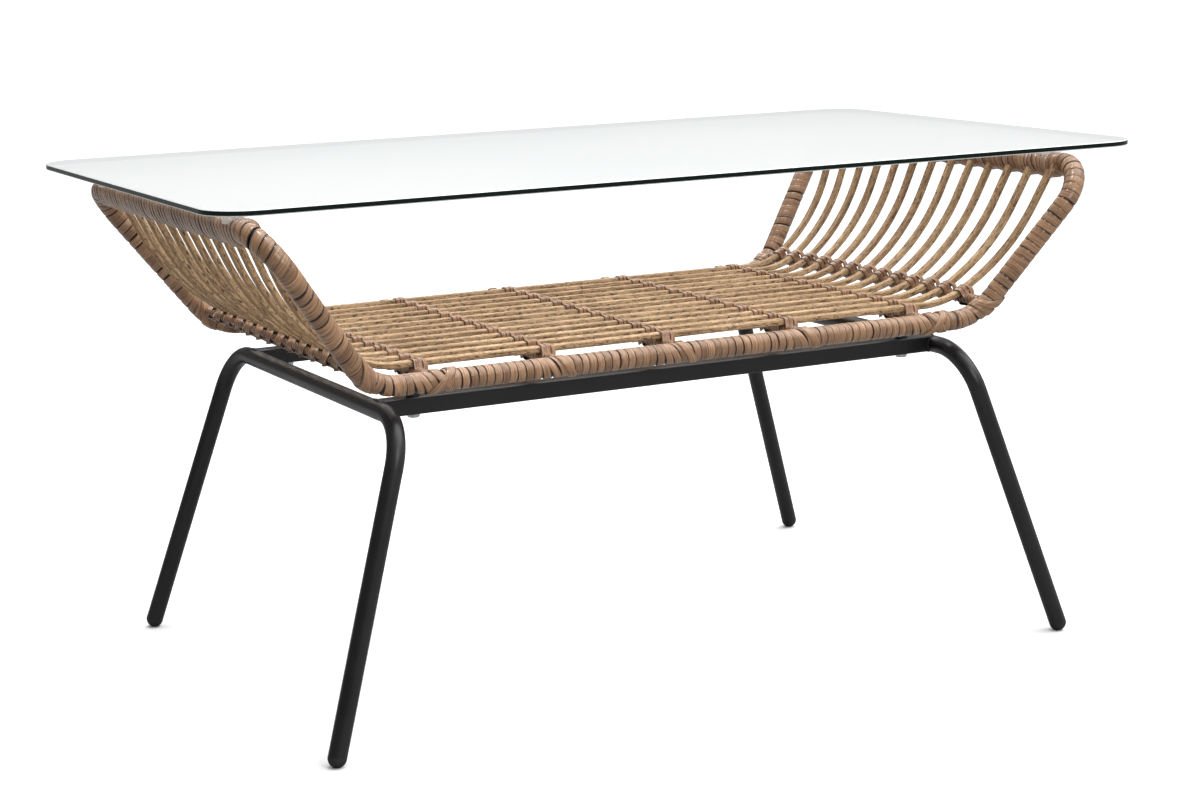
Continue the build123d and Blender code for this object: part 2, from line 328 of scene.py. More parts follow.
def raise_bumps(tree, bsdf, height, strength, distance):
    made = node(tree, "ShaderNodeBump")
    made.inputs["Strength"].default_value = strength
    made.inputs["Distance"].default_value = distance
    tree.links.new(height, made.inputs["Height"])
    tree.links.new(made.outputs["Normal"], bsdf.inputs["Normal"])


def tone_of(tree):
    return node(tree, "ShaderNodeAttribute", attribute_name="tone").outputs["Fac"]


# ------------------------------------------------------------------ materials
def strip_material(name, light, mid, dark, rough):
    """Flat woven strip: u runs along it in metres, v across it from 0 to 1, with painted shade at both of
    its long sides where one turn laps the next.
    """
    material, tree, bsdf = new_material(name)
    fine = uv_noise(tree, 60, 9, detail=4, rough=0.6)
    streak = uv_noise(tree, 22, 26, detail=3, rough=0.6, distortion=0.4)
    colour = ramp(tree, fine, [(0.32, dark), (0.48, mid), (0.68, light)])
    streaks = [(0.31, (0.66, 0.62, 0.60)), (0.47, (0.97, 0.97, 0.96)), (0.70, (1.14, 1.14, 1.13))]
    colour = multiply(tree, colour, ramp(tree, streak, streaks))
    turn_tones = [(0.0, (0.62, 0.58, 0.55)), (0.5, grey(1)), (1.0, (1.25, 1.24, 1.22))]
    colour = multiply(tree, colour, ramp(tree, tone_of(tree), turn_tones))
    across = node(tree, "ShaderNodeSeparateXYZ")
    tree.links.new(node(tree, "ShaderNodeUVMap", uv_map="UVMap").outputs["UV"], across.inputs[0])
    # Painted shade: v near 0 and from 0.84 on turns near black, standing in for the shade in the crease
    # where one turn laps the next.
    seam_shade = (0.03, 0.02, 0.018)
    painted_seam_shade = [(0.0, seam_shade), (0.05, (0.42, 0.36, 0.33)), (0.11, grey(1)),
             (0.78, grey(1)), (0.84, (0.38, 0.31, 0.28)), (0.88, seam_shade)]
    colour = multiply(tree, colour, ramp(tree, across.outputs["Y"], painted_seam_shade))
    tree.links.new(colour, bsdf.inputs["Base Color"])
    roughen(tree, bsdf, streak, rough)
    bsdf.inputs["Specular IOR Level"].default_value = 0.42
    bsdf.inputs["Coat Weight"].default_value = 0.28
    bsdf.inputs["Coat Roughness"].default_value = 0.15
    height = calc(tree, "ADD", calc(tree, "MULTIPLY", fine, 0.5), calc(tree, "MULTIPLY", streak, 0.9))
    raise_bumps(tree, bsdf, height, 0.26, 0.4 * MM)
    return material


def cane_material():
    """Slat cane: u along the slat in metres, v once round it. Grain, dark flecks, fine pores, and a tone
    with painted shade up the slopes.
    """
    material, tree, bsdf = new_material("slat_cane")
    broad = uv_noise(tree, 16, 3.0, detail=3, rough=0.55)
    grain = uv_noise(tree, 75, 26, detail=4, rough=0.62, distortion=0.35)
    fleck = uv_noise(tree, 170, 22, detail=3, rough=0.68, distortion=0.8)
    pore = uv_noise(tree, 420, 46, detail=2, rough=0.6)
    cane = [(0.30, (0.37, 0.231, 0.117)), (0.48, (0.58, 0.383, 0.208)), (0.70, (0.74, 0.512, 0.296))]
    grains = [(0.32, (0.44, 0.39, 0.35)), (0.47, (0.93, 0.92, 0.91)), (0.70, grey(1.22))]
    colour = multiply(tree, ramp(tree, broad, cane), ramp(tree, grain, grains))
    marks = ramp(tree, fleck, [(0.53, grey(0)), (0.58, grey(0.62)), (0.66, grey(0.95))])
    colour = mix(tree, marks, colour, (0.085, 0.048, 0.028))
    colour = multiply(tree, colour, ramp(tree, pore, [(0.56, grey(1)), (0.68, (0.56, 0.5, 0.46))]))
    # The tone varies at random and also carries painted shade, darker up the slopes.
    slat_tone_and_slope_shade = [(0.0, (0.84, 0.81, 0.78)), (0.5, grey(1)), (1.0, grey(1.1))]
    colour = multiply(tree, colour, ramp(tree, tone_of(tree), slat_tone_and_slope_shade))
    tree.links.new(colour, bsdf.inputs["Base Color"])
    roughen(tree, bsdf, grain, (0.44, 0.62))
    bsdf.inputs["Specular IOR Level"].default_value = 0.4
    fibres = calc(tree, "ADD", calc(tree, "MULTIPLY", grain, 0.9), calc(tree, "MULTIPLY", pore, 0.25))
    height = calc(tree, "SUBTRACT", fibres, calc(tree, "MULTIPLY", marks, 0.5))
    raise_bumps(tree, bsdf, height, 0.55, 0.6 * MM)
    return material


def hard_material(name, colour, worn, rough, peel, metallic=0.0):
    """Powder coat, moulded plastic or zinc: a faint cloud of wear and a fine orange peel."""
    material, tree, bsdf = new_material(name)
    cloud = object_noise(tree, 22.0, 4)
    tree.links.new(ramp(tree, cloud, [(0.3, colour), (0.75, worn)]), bsdf.inputs["Base Color"])
    roughen(tree, bsdf, cloud, rough)
    bsdf.inputs["Specular IOR Level"].default_value = 0.5
    bsdf.inputs["Metallic"].default_value = metallic
    raise_bumps(tree, bsdf, object_noise(tree, 900.0), peel, 0.2 * MM)
    return material


def glass_material():
    """Thin clear sheet: pale at a low angle by a painted reflection of the bright room, clear from above,
    with pale bevels as a painted highlight and a dark edge as painted shade over the glass's own green tint.
    """
    material, tree, bsdf = new_material("table_glass")
    direction = node(tree, "ShaderNodeSeparateXYZ")
    tree.links.new(node(tree, "ShaderNodeNewGeometry").outputs["True Normal"], direction.inputs[0])
    level = calc(tree, "ABSOLUTE", direction.outputs["Z"])
    is_face = calc(tree, "GREATER_THAN", level, 0.9)
    is_bevel = calc(tree, "GREATER_THAN", level, 0.4)
    cloud = object_noise(tree, 3.0)
    # Painted reflection: this pale colour, shown at a low angle, stands in for the bright room mirrored in
    # the sheet.
    veil_reflection = ramp(tree, cloud, [(0.3, (0.85, 0.872, 0.872)), (0.7, (0.88, 0.897, 0.897))])
    # Painted shade: the end faces are near black, tinted with the glass's own green.
    edge = ramp(tree, cloud, [(0.3, (0.004, 0.010, 0.008)), (0.7, (0.008, 0.018, 0.015))])
    # Painted highlight: the bevels are pale where the light would glint along them.
    bevel_highlight = ramp(tree, cloud, [(0.3, (0.90, 0.93, 0.92)), (0.7, (0.97, 0.98, 0.98))])
    colour = mix(tree, is_face, mix(tree, is_bevel, edge, bevel_highlight), veil_reflection)
    tree.links.new(colour, bsdf.inputs["Base Color"])
    facing = node(tree, "ShaderNodeLayerWeight")
    facing.inputs["Blend"].default_value = 0.5
    reflection_share = spread(tree, facing.outputs["Facing"], (0.30, 0.84), (0.05, 0.90), "SMOOTHSTEP")
    alpha = calc(tree, "MAXIMUM", reflection_share, calc(tree, "SUBTRACT", 1.0, is_face))
    tree.links.new(alpha, bsdf.inputs["Alpha"])
    bsdf.inputs["Roughness"].default_value = 0.03
    bsdf.inputs["Specular IOR Level"].default_value = 0.16
    return material


def pad_material():
    """Clear soft plastic."""
    material, tree, bsdf = new_material("clear_pad")
    clear = ramp(tree, object_noise(tree, 60.0, 3), [(0.3, (0.93, 0.95, 0.95)), (0.7, (0.97, 0.98, 0.98))])
    tree.links.new(clear, bsdf.inputs["Base Color"])
    bsdf.inputs["Roughness"].default_value = 0.3
    bsdf.inputs["Alpha"].default_value = 0.3
    bsdf.inputs["Specular IOR Level"].default_value = 0.3
    return material


wrap_mat = strip_material("wrap_strip", light=(0.49, 0.296, 0.176), mid=(0.335, 0.190, 0.104),
                          dark=(0.21, 0.109, 0.057), rough=(0.17, 0.32))
lash_mat = strip_material("lash_strip", light=(0.48, 0.287, 0.170), mid=(0.32, 0.177, 0.096),
                          dark=(0.17, 0.086, 0.046), rough=(0.2, 0.34))
cane_mat = cane_material()
leg_mat = hard_material("leg_powder_coat", colour=(0.0060, 0.0056, 0.0066), worn=(0.012, 0.0112, 0.0130),
                        rough=(0.28, 0.38), peel=0.35)
rim_mat = hard_material("rim_powder_coat", colour=(0.010, 0.010, 0.011), worn=(0.018, 0.018, 0.020),
                        rough=(0.36, 0.5), peel=0.3)
foot_mat = hard_material("foot_plastic", colour=(0.012, 0.012, 0.013), worn=(0.020, 0.020, 0.021),
                         rough=(0.5, 0.62), peel=0.5)
screw_mat = hard_material("screw_zinc", colour=(0.50, 0.50, 0.51), worn=(0.64, 0.63, 0.61),
                          rough=(0.24, 0.4), peel=0.2, metallic=1.0)


def paint(material, *names):
    """Gives CAD nodes a material."""
    for name in names:
        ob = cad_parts[name]
        if not ob.material_slots:
            ob.data.materials.append(material)
        for slot in ob.material_slots:
            slot.link = "OBJECT"
            slot.material = material


paint(glass_material(), "glass_top")
paint(pad_material(), "glass_pads")
paint(rim_mat, "rim_rail_front", "rim_rail_back", "rim_hoop_left", "rim_hoop_right", "basket_bosses")
paint(rim_mat, *[f"crossbar_{number}" for number in range(1, CROSSBARS + 1)])
paint(leg_mat, "leg_frame_left", "leg_frame_right", "side_bar_front", "side_bar_back")
paint(foot_mat, *[f"foot_cap_{number}" for number in range(1, 5)])
paint(screw_mat, "frame_screws")

# ------------------------------------------------------------------ wound strip
SEGMENTS = 28  # points in one turn
OVERLAP = 1.14  # width of the strip over the pitch of its turns
EVEN_LEAN = 0.9 * MM  # how far a turn leans away from any knot
KNOT_SPREAD = 11 * MM  # how far along the tube a knot changes the lean
# The strip's section: places across it, and how high each lies, in thicknesses.
ACROSS = np.array([0.0, 0.035, 0.10, 0.28, 0.50, 0.70, 0.84, 0.93, 1.0])
LIFT = np.array([0.30, 0.80, 0.98, 1.06, 1.04, 0.96, 0.80, 0.52, 0.12])


def wound(sheet, path, end_room, pitch, core, thick, seed, uneven=0.13, wobble=0.5 * MM,
          lean=None, slant=None, grow=None):
    """A flat strip wound round a whole path, each turn lapping the one before.

    end_room is how far it runs past each end, pitch(s) the advance of a turn at arc length s, and
    core the radius that it lies on. lean(s) and slant(s) tilt the turns, and grow(s, angle)
    lifts them off the core.
    """
    start, end = -end_room, path.length + end_room
    where = [start]
    while where[-1] < end:
        share = 1 + uneven * float(smooth_noise((len(where) - 1) / SEGMENTS, seed + 1))
        where.append(where[-1] + pitch(where[-1]) * share / SEGMENTS)
    where = np.array(where)
    theta = FULL_TURN / SEGMENTS * np.arange(len(where))
    turns = theta / FULL_TURN
    width = OVERLAP * np.array([pitch(s) for s in where]) * (1 + 0.06 * smooth_noise(turns, seed + 2, 0.7))
    angle = theta[:, None] + 0 * ACROSS[None, :]
    wander = wobble * (smooth_noise(turns, seed + 3, 1.3) * np.cos(theta)
                       + smooth_noise(turns, seed + 4, 1.7) * np.sin(theta))
    if lean is not None:
        wander = wander + lean(where) * np.cos(theta)
    if slant is not None:
        normal, binormal = path.at(np.clip(where, start, end))[2:]
        wander = wander + slant(where) * (np.cos(theta) * normal[:, 2] + np.sin(theta) * binormal[:, 2])
    s = (where + wander)[:, None] + (ACROSS - 0.5)[None, :] * width[:, None]
    skew = 0.18 * smooth_noise(turns, seed + 5, 0.5)[:, None] * (ACROSS - 0.5)
    radius = core + thick * (LIFT[None, :] + skew)
    if grow is not None:
        radius = radius + grow(s, angle)
    p, _, n, b = path.at(np.clip(s, start - 2 * MM, end + 2 * MM))
    points = p + radius[..., None] * (np.cos(angle)[..., None] * n + np.sin(angle)[..., None] * b)
    length = np.cumsum(np.r_[0, np.hypot(np.diff(where), core * FULL_TURN / SEGMENTS)])
    tone = 0.5 + 0.45 * smooth_noise(turns, seed + 6, 0.55)
    sheet.grid(points, uv_grid(length + seed * 0.37, ACROSS), tone[:, None])


def band(sheet, path, centre, width, radius, amplitude, seed, tone):
    """One turn of strip laid over the wrapping, shifted by its amplitude along it, there and back."""
    thick = 0.9 * MM
    across = np.array([0.0, 0.04, 0.12, 0.35, 0.6, 0.86, 0.95, 1.0])
    lift = np.array([-0.7, 0.5, 0.9, 1.0, 1.0, 0.9, 0.5, -0.7])
    angle = np.linspace(0, FULL_TURN, 41)
    s = centre + (amplitude * np.cos(angle))[:, None] + (across - 0.5)[None, :] * width
    r = radius + thick * lift[None, :] + 0.3 * MM * smooth_noise(angle, seed, 0.8)[:, None]
    p, _, n, b = path.at(s)
    points = p + r[..., None] * (np.cos(angle)[:, None, None] * n + np.sin(angle)[:, None, None] * b)
    length = np.linspace(0, FULL_TURN * radius, len(angle))
    # v stays off most of the painted seam shade at the strip's far side, the shade that a next turn would
    # cast in the wrapping.
    sheet.grid(points, uv_grid(length + seed * 0.61, 0.07 + 0.8 * across), tone)


def knot_lean(spots):
    """How far the turns lean: a little all along, and the other way beside each spot."""
    def lean(where):
        shift = EVEN_LEAN * np.ones_like(where)
        for spot, reach in spots:
            distance = (where - spot) / KNOT_SPREAD
            shift = shift - reach * np.exp(-distance * distance)
        return shift
    return lean


# ------------------------------------------------------------------ rim wrapping
RAIL_PITCH = 7.4 * MM
SLOPE_PITCH = 8.3 * MM
TOP_PITCH = {"left": 7.4 * MM, "right": 5.6 * MM}
TOP_SLANT = 5.5 * MM  # how far along the top rail a turn is shifted at its top, and back at its bottom
SAG = 0.26  # share by which the wrapping hangs less below a slat than half-way between two
TIP_COVER = 2.6 * MM  # how far it rises over a slat's tip
CORNER_SWELL = 0.7 * MM  # how much thicker it lies at the hoop's upper corners
PAST_END = 1 * MM  # how far the wrapping runs past the end of its tube
# The turns lean most this far before a knot, on the rails and on the hoops.
RAIL_KNOT_BEFORE = 7 * MM
HOOP_KNOT_BEFORE = 9 * MM
# Radii of the strips that cross over the wrapping at a knot.
SINGLE_LAYER = WRAPPED + 0.25 * MM
LOWER_LAYER = WRAPPED + 0.15 * MM
UPPER_LAYER = WRAPPED + 0.75 * MM


def wrap_rail(label, side):
    """The front or back bottom rail: even turns and a knot at each inner crossbar.

    The outermost two knots are a crossed pair of strips, the others one slanted strip.
    """
    ends = [(-RAIL_X, side * RIM_Y, RIM_Z), (RAIL_X, side * RIM_Y, RIM_Z)]
    path = Path(bent(ends, []), (0, 0, 1))
    sheet = Sheet()
    inner_bars = [x for x, _, _ in bars[1:-1]]
    lean = knot_lean([(x + RAIL_X - RAIL_KNOT_BEFORE, 5 * MM) for x in inner_bars])
    wound(sheet, path, PAST_END, lambda s: RAIL_PITCH, TUBE, WRAP, seed=11 + side, lean=lean)
    for k, x in enumerate(inner_bars):
        s = x + RAIL_X
        if k in (0, len(inner_bars) - 1):
            band(sheet, path, s + 9 * MM, width=9.5 * MM, radius=LOWER_LAYER, amplitude=-7 * MM,
                 seed=31 + k, tone=0.45)
            band(sheet, path, s + 8 * MM, width=9.5 * MM, radius=UPPER_LAYER, amplitude=9.5 * MM,
                 seed=41 + k, tone=0.62)
        else:
            band(sheet, path, s + 4 * MM, width=9 * MM, radius=SINGLE_LAYER, amplitude=-6 * MM,
                 seed=51 + k, tone=0.7)
    place(sheet.build(f"wrap_{label}_strip", wrap_mat), "wrap_strip", f"wrap_{label}")


def hoop_path(side):
    half = [(side * RAIL_X, -RIM_Y, RIM_Z), (side * HOOP_FOOT_X, -RIM_Y, RIM_Z),
            (side * TOP_X, -HOOP_TOP_Y, TOP_Z)]
    corners = half + [(x, -y, z) for x, y, z in reversed(half)]
    radii = (HOOP_FOOT_RADIUS, HOOP_TOP_RADIUS, HOOP_TOP_RADIUS, HOOP_FOOT_RADIUS)
    return Path(bent(corners, radii), (0, 0, 1))


def wrap_hoop(label, side):
    """An end hoop: single turns up the slopes, bunched turns round rail and slat ends at the top."""
    path = hoop_path(side)
    on_top = path.s[np.abs(path.p[:, 2] - TOP_Z) < 1e-4]
    top_start, top_end = on_top[0], on_top[-1]

    def within_top(s, before, after, blend):
        """1 on the top rail, 0 on the slopes, counted from before its start to after its end."""
        return np.clip((s - top_start + before) / blend, 0, 1) * np.clip((top_end + after - s) / blend, 0, 1)

    def pitch(s):
        on_rail = within_top(s, 12 * MM, 12 * MM, 16 * MM)
        return SLOPE_PITCH * (1 - on_rail) + TOP_PITCH[label] * on_rail

    def slant(s):
        return TOP_SLANT * within_top(s, 14 * MM, 4 * MM, 34 * MM)

    def grow(s, angle):
        """Out to the circle that takes in the slat ends, hanging lowest half-way between two slats."""
        on_rail = within_top(s, 6 * MM, 6 * MM, 12 * MM)
        on_rail = on_rail * on_rail * (3 - 2 * on_rail)
        p, _, n, b = path.at(s)
        outward = np.cos(angle)[..., None] * n + np.sin(angle)[..., None] * b
        offset = BIND_RADIUS - WRAPPED
        along = (-side * outward[..., 0] - outward[..., 2]) * offset
        reach = along + np.sqrt(BIND_RADIUS ** 2 - 2 * offset ** 2 + along ** 2)
        slat = p[..., 1] / SLAT_PITCH_AT_TOP
        near_slat = 0.5 + 0.5 * np.cos(FULL_TURN * slat)
        below = np.clip(-outward[..., 2], 0, 1)
        extra = np.maximum(reach - WRAPPED, 0) * (1 - SAG * near_slat * below) - 0.25 * MM
        extra = np.maximum(extra, 0)
        # The turns beside a slat also pass over its tip.
        inward = np.clip(-side * outward[..., 0], 0, 1)
        over_tip = np.clip((outward[..., 2] + 0.60) / 0.18, 0, 1)
        has_slat = np.abs(slat) < SLATS // 2 + 0.5
        extra = extra + TIP_COVER * near_slat ** 3 * inward * over_tip * has_slat
        # All the turns lie thicker round the two upper corners.
        corners = (np.exp(-((s - top_start + 16 * MM) / (24 * MM)) ** 2)
                   + np.exp(-((s - top_end - 16 * MM) / (24 * MM)) ** 2))
        return on_rail * extra + CORNER_SWELL * corners

    bar = path.station(0, side * bars[-1][0])
    near_bar = min(bar, path.length - bar)
    far_bar = path.length - near_bar
    lean = knot_lean([(s - HOOP_KNOT_BEFORE, 4 * MM) for s in (near_bar, far_bar)])
    sheet = Sheet()
    wound(sheet, path, PAST_END, pitch, TUBE, WRAP, seed=71 + side, uneven=0.22, wobble=0.55 * MM,
          lean=lean, slant=slant, grow=grow)
    for s, way in ((near_bar, 1), (far_bar, -1)):
        tilt = -side * way
        band(sheet, path, s - way * 5 * MM, width=9 * MM, radius=LOWER_LAYER, amplitude=tilt * 5 * MM,
             seed=81 + side, tone=0.35)
        band(sheet, path, s + way * 3 * MM, width=10.5 * MM, radius=UPPER_LAYER,
             amplitude=tilt * 9.5 * MM, seed=87 + side, tone=0.6)
    place(sheet.build(f"wrap_{label}_strip", wrap_mat), "wrap_strip", f"wrap_{label}")


wrap_rail("front", -1)
wrap_rail("back", 1)
wrap_hoop("left", -1)
wrap_hoop("right", 1)

# ------------------------------------------------------------------ slats
SLAT_SIDES = 20  # points round a slat
SLAT_SQUARENESS = 0.44  # 1 would be an ellipse, 0 a rectangle
SLAT_WIDENING = 0.10  # up the slopes
slat_draws = np.random.default_rng(7)


def rounded_square(angle, power):
    """Cosine and sine of an angle, pushed out towards the corners of a square."""
    cosine, sine = np.cos(angle), np.sin(angle)
    return np.sign(cosine) * np.abs(cosine) ** power, np.sign(sine) * np.abs(sine) ** power


def slat_path(number):
    """Centre line of a slat, flat in the middle and fanned out up both ends."""
    low_y = number * SLAT_PITCH
    top_y = number * SLAT_PITCH_AT_TOP
    right = [(SLAT_LOWER_X, low_y, SLAT_Z),
             (SLAT_UPPER_X, low_y + SLAT_FAN_AT_UPPER * (top_y - low_y), SLAT_UPPER_Z),
             (SLAT_TOP_X, top_y, SLAT_TOP_Z)]
    corners = [(-x, y, z) for x, y, z in reversed(right)] + right
    radii = (SLAT_UPPER_RADIUS, SLAT_LOWER_RADIUS, SLAT_LOWER_RADIUS, SLAT_UPPER_RADIUS)
    return Path(bent(corners, radii, 2.5 * MM), (0, 1, 0))


def build_slat(k):
    """One slat of uneven cane, a little wider up its slopes and darker there by painted shade. Returns its
    centre line's points.
    """
    path = slat_path(k - SLATS // 2)
    s = path.s
    p, _, n, b = path.at(s)
    angle = (np.arange(SLAT_SIDES) + 0.5) * FULL_TURN / SLAT_SIDES
    cx, cz = rounded_square(angle, SLAT_SQUARENESS)
    on_slope = np.clip((np.abs(p[:, 0]) - SLAT_LOWER_X) / (40 * MM), 0, 1)
    wide = SLAT_WIDTH / 2 * (1 + 0.035 * smooth_noise(s, 300 + k, 0.035)) * (1 + SLAT_WIDENING * on_slope)
    tall = SLAT_THICK / 2 * (1 + 0.030 * smooth_noise(s, 330 + k, 0.030))
    sway = 0.25 * MM * smooth_noise(s, 360 + k, 0.06)
    ripple = 1 + 0.012 * np.stack([smooth_noise(s, 400 + k * 31 + j, 0.012) for j in range(SLAT_SIDES)], 1)
    sideways = sway[:, None] + wide[:, None] * cx * ripple
    upwards = tall[:, None] * cz * ripple
    points = p[:, None, :] + sideways[..., None] * n[:, None, :] + upwards[..., None] * b[:, None, :]
    # A repeated first column closes the seam without stretching the grain across it.
    points = np.concatenate([points, points[:, :1]], 1)
    uv = uv_grid(s + 1.7 * k, np.linspace(0, 1, SLAT_SIDES + 1))
    # Painted shade: the tone falls by up to 0.4 up the slopes, which get less light than the flat.
    tone = 0.5 + 0.24 * smooth_noise(s, 500 + k, 0.2) + slat_draws.uniform(-0.2, 0.2) - 0.4 * on_slope
    sheet = Sheet()
    sheet.grid(points, uv, tone[:, None])
    last_row = (len(s) - 1) * (SLAT_SIDES + 1)
    sheet.cap(list(range(SLAT_SIDES, 0, -1)))
    sheet.cap([last_row + j for j in range(SLAT_SIDES)])
    place(sheet.build(f"slat_cane_{k + 1:02d}", cane_mat), "slat_weave", f"slat_{k + 1:02d}")
    return path.p


slat_runs = [build_slat(k) for k in range(SLATS)]

# ------------------------------------------------------------------ lashings
ROD_PITCH = 4.6 * MM
ROD_STRIP = 0.95 * MM
STRAP_THICK = 1.0 * MM
STRAP_WIDTH = 4.9 * MM
TIE_WIDTH = 5.4 * MM
# A ribbon's section: places across it in widths and up it in thicknesses, and its v in the UV map.
# Its v puts the painted seam shade of the strip material along one side and under the ribbon, and a lighter
# painted shade along the other side.
RIBBON_ACROSS = np.array([-0.50, -0.47, -0.36, 0, 0.36, 0.47, 0.50, 0])
RIBBON_UP = np.array([-0.35, 0.25, 0.46, 0.56, 0.46, 0.25, -0.35, -0.45])
RIBBON_V = np.array([0.06, 0.11, 0.2, 0.5, 0.75, 0.84, 0.9, 0.95])


def ribbon(sheet, line, outward, width, thick, seed, tone):
    """A strip along a line of points, with its flat side facing the given directions."""
    tangent = np.gradient(line, axis=0)
    tangent /= np.linalg.norm(tangent, axis=1)[:, None]
    outward = outward - tangent * (outward * tangent).sum(1)[:, None]
    outward /= np.linalg.norm(outward, axis=1)[:, None]
    cross = np.cross(tangent, outward)
    points = (line[:, None, :] + (RIBBON_ACROSS * width)[None, :, None] * cross[:, None, :]
              + (RIBBON_UP * thick)[None, :, None] * outward[:, None, :])
    length = np.r_[0, np.cumsum(np.linalg.norm(np.diff(line, axis=0), axis=1))]
    first = sheet.count
    sheet.grid(points, uv_grid(length + seed * 0.113, RIBBON_V), tone, closed=True)
    rows, cols = points.shape[:2]
    sheet.cap([first + j for j in reversed(range(cols))])
    sheet.cap([first + (rows - 1) * cols + j for j in range(cols)])


def rounded_loop(corners, radius, steps=5):
    """A closed loop through corner points with rounded corners, with outward directions."""
    centre = sum(corners) / len(corners)
    points = []
    for i, corner in enumerate(corners):
        back = unit(corners[i - 1] - corner)
        ahead = unit(corners[(i + 1) % len(corners)] - corner)
        for t in np.arange(steps + 1) / steps:
            points.append(corner + back * radius * (1 - t) ** 2 + ahead * radius * t ** 2)
    points = np.array(points + points[:1])
    return points, points - centre


# The slanting tie's route: how far along the slat, across it, and above its centre line. The order
# is from the back of the slat to the front.
TIE = np.array([(3.4, 4.4, 0.6), (4.2, 3.0, 3.3), (4.8, 0.0, 3.9), (5.6, -3.4, 3.0), (6.6, -5.0, 0.4),
                (6.4, -6.4, -3.4), (4.8, -7.4, -7.4), (2.4, -8.2, -12.0), (-1.5, -8.8, -13.0)]) * MM
TIE_STRETCHED = slice(3, 6)  # its points that reach further along the slat at the end crossbars
TIE_POINTS = 30


def local_points(origin, along, upward):
    """A function that gives a point from its place along the slats, across them and above the rod."""
    def point(x, y, z):
        return origin + np.array([0, y, 0]) + along * x + upward * z
    return point


def strap_folds(sheet, point, draws, slat_number, seed, shade):
    """Two folds of strip round a slat and its rod."""
    half_width = SLAT_WIDTH / 2 + 0.85 * MM
    top_height = SLAT_SEAT + SLAT_THICK / 2 + 0.55 * STRAP_THICK
    foot = -WRAPPED_ROD - 0.35 * MM
    # Under the rod the strip spreads further on the free side of the outermost slats.
    front_low = -half_width - (4.0 if slat_number == 0 else 0.4) * MM
    back_low = half_width + (4.0 if slat_number == SLATS - 1 else 0.4) * MM
    for fold, x in enumerate((-2.4 * MM, 2.2 * MM)):
        x = x + draws.uniform(-0.3, 0.3) * MM
        height = top_height + draws.uniform(0, 0.3) * MM + 0.25 * MM * fold
        skew = draws.uniform(-0.5, 0.5) * MM
        corners = [point(x + skew, front_low, foot), point(x - skew, back_low, foot),
                   point(x - skew, half_width, height), point(x + skew, -half_width, height)]
        loop, outward = rounded_loop(corners, 2.4 * MM)
        ribbon(sheet, loop, outward, STRAP_WIDTH, STRAP_THICK, seed + fold, shade + 0.08 * fold)


def slanting_tie(sheet, point, at_end, along, upward, seed, tone):
    """The strip that goes from the back of one slat, over it and down to the rod in front."""
    line = TIE.copy()
    line[TIE_STRETCHED, 0] *= 1.12 if at_end else 1.0
    line = np.array([point(x, y, SLAT_SEAT + z) for x, y, z in line])
    fine = np.linspace(0, len(line) - 1, TIE_POINTS)
    line = np.stack([np.interp(fine, np.arange(len(line)), line[:, axis]) for axis in range(3)], 1)
    for _ in range(3):
        line[1:-1] = (line[:-2] + 2 * line[1:-1] + line[2:]) / 4
    # Its flat side faces up over the slat and turns to face the front on the way down.
    to_front = np.clip(np.linspace(-0.2, 1.1, len(line)), 0, 1)[:, None]
    outward = (1 - to_front) * upward + to_front * np.array([0.0, -1.0, 0.0]) + 0.25 * along
    ribbon(sheet, line, outward, TIE_WIDTH, 0.9 * STRAP_THICK, seed, tone)


def lash_bar(row, bar_x, bar_z, half):
    """The strip wound on one crossbar, and the straps and ties that hold every slat to it."""
    at_end = row in (1, CROSSBARS)
    tilt = math.copysign(END_BAR_TILT, bar_x) if at_end else 0.0
    along = np.array([math.cos(tilt), 0, math.sin(tilt)])
    upward = np.array([-math.sin(tilt), 0, math.cos(tilt)])
    sheet = Sheet()
    reach = half - 0.8 * MM
    line = Path(np.array([[bar_x, -reach, bar_z], [bar_x, reach, bar_z]]), (0, 0, 1))
    wound(sheet, line, 0, lambda s: ROD_PITCH, ROD, ROD_STRIP, seed=600 + row, wobble=0.35 * MM)
    for k, run in enumerate(slat_runs):
        slat_y = run[np.argmin((run[:, 0] - bar_x) ** 2 + (run[:, 2] - bar_z) ** 2), 1]
        point = local_points(np.array([bar_x, slat_y, bar_z]), along, upward)
        seed = 700 + row * 20 + k
        draws = np.random.default_rng(seed)
        shade = 0.5 + draws.uniform(-0.25, 0.25) + (-0.25 if at_end else 0.05)
        strap_folds(sheet, point, draws, k, seed, shade)
        slanting_tie(sheet, point, at_end, along, upward, seed + 5, shade + 0.3)
    place(sheet.build(f"lashing_strip_{row}", lash_mat), "wrap_strip", f"lashing_{row}")


for row, bar in enumerate(bars, start=1):
    lash_bar(row, *bar)

# ------------------------------------------------------------------ weld beads on the leg frames
WELD_X = 282 * MM
WELD_HALF_WIDTH = 7.6 * MM
WELD_HALF_HEIGHT = 7.4 * MM
WELD_SQUARENESS = 0.42
WELD_RADIUS = 1.15 * MM
WELD_RIPPLES = 22
WELD_POINTS = 96


